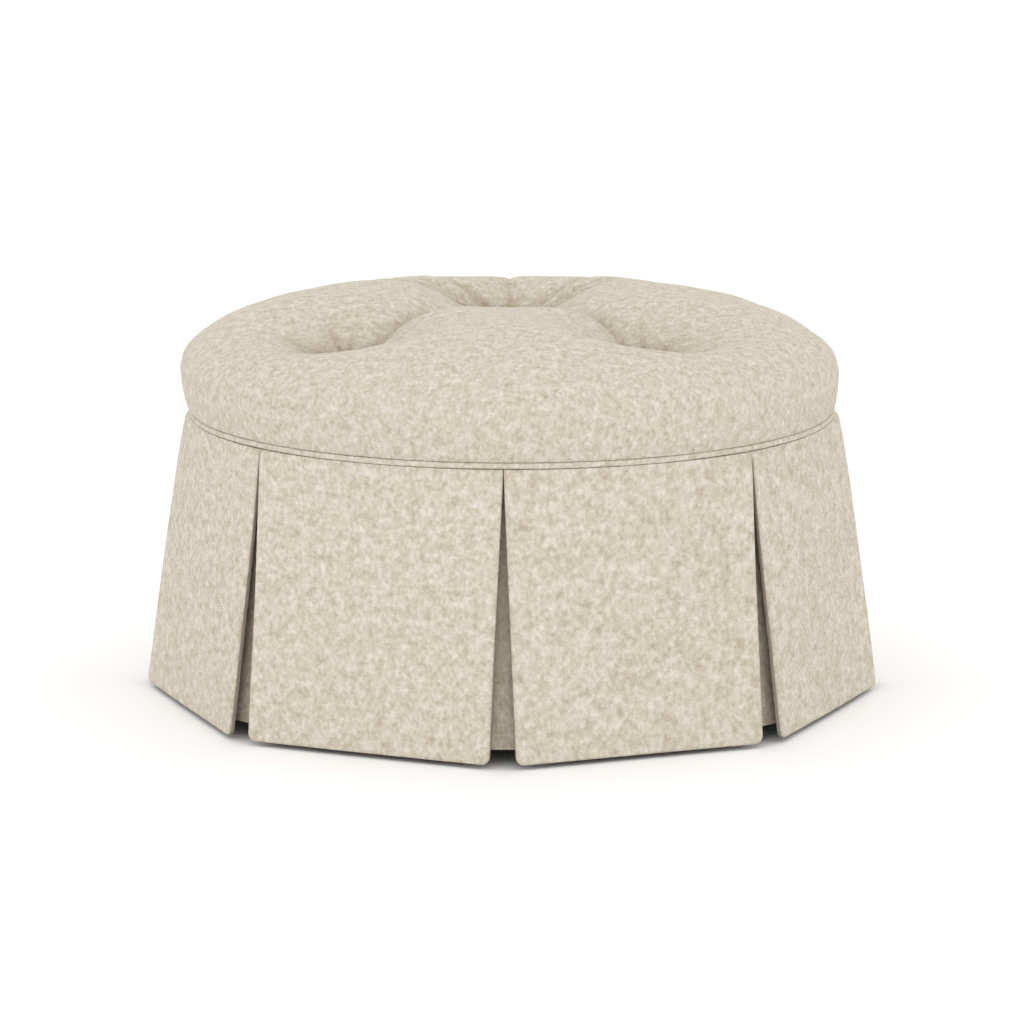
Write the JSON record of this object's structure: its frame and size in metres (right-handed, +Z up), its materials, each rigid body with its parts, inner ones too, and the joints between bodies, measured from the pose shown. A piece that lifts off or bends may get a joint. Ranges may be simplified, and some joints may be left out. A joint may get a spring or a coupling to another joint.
{
  "type": "ottoman",
  "caption": "Round upholstered ottoman with a button-tufted crowned pad, a welt and a flat kick-pleat skirt that hides short legs.",
  "frame": {"origin": "on the floor under the middle of the ottoman", "axes": "+Z up; the front is at -Y, where one of the pleats faces"},
  "size_m": [0.9212, 0.9212, 0.4889],
  "materials": {
    "linen": "heathered oatmeal weave, matt",
    "batting": "loose white polyester wadding",
    "foam": "open-cell cushion foam, matt",
    "plywood": "raw birch plywood, sanded",
    "hardwood": "oiled hardwood, satin",
    "steel": "zinc-plated",
    "nylon": "moulded nylon, satin",
    "card": "pressed card strip, matt",
    "buckram": "stiff sized cloth, matt",
    "twine": "waxed twine",
    "cambric": "thin black non-woven cloth"
  },
  "bodies": {
    "root": {"cushion_cover": "linen", "welt": "linen", "skirt_panel_1": "linen", "skirt_panel_2": "linen", "skirt_panel_3": "linen", "skirt_panel_4": "linen", "skirt_panel_5": "linen", "skirt_panel_6": "linen", "skirt_panel_7": "linen", "skirt_panel_8": "linen", "pleat_underlay_1": "linen", "pleat_underlay_2": "linen", "pleat_underlay_3": "linen", "pleat_underlay_4": "linen", "pleat_underlay_5": "linen", "pleat_underlay_6": "linen", "pleat_underlay_7": "linen", "pleat_underlay_8": "linen", "tuft_button_1": "linen", "tuft_button_2": "linen", "tuft_button_3": "linen", "tuft_twine_1": "twine", "tuft_twine_2": "twine", "tuft_twine_3": "twine", "twine_anchor_1": "nylon", "twine_anchor_2": "nylon", "twine_anchor_3": "nylon", "batting": "batting", "foam_core": "foam", "deck_board": "plywood", "base_board": "plywood", "frame_band": "plywood", "frame_post_1": "hardwood", "frame_post_2": "hardwood", "frame_post_3": "hardwood", "frame_post_4": "hardwood", "leg_1": "hardwood", "leg_2": "hardwood", "leg_3": "hardwood", "leg_4": "hardwood", "leg_bolt_1": "steel", "leg_bolt_2": "steel", "leg_bolt_3": "steel", "leg_bolt_4": "steel", "glide_1": "nylon", "glide_2": "nylon", "glide_3": "nylon", "glide_4": "nylon", "dust_cover": "cambric", "tack_strip": "card", "panel_stiffener_1": "buckram", "panel_stiffener_2": "buckram", "panel_stiffener_3": "buckram", "panel_stiffener_4": "buckram", "panel_stiffener_5": "buckram", "panel_stiffener_6": "buckram", "panel_stiffener_7": "buckram", "panel_stiffener_8": "buckram"}
  },
  "joints": []
}
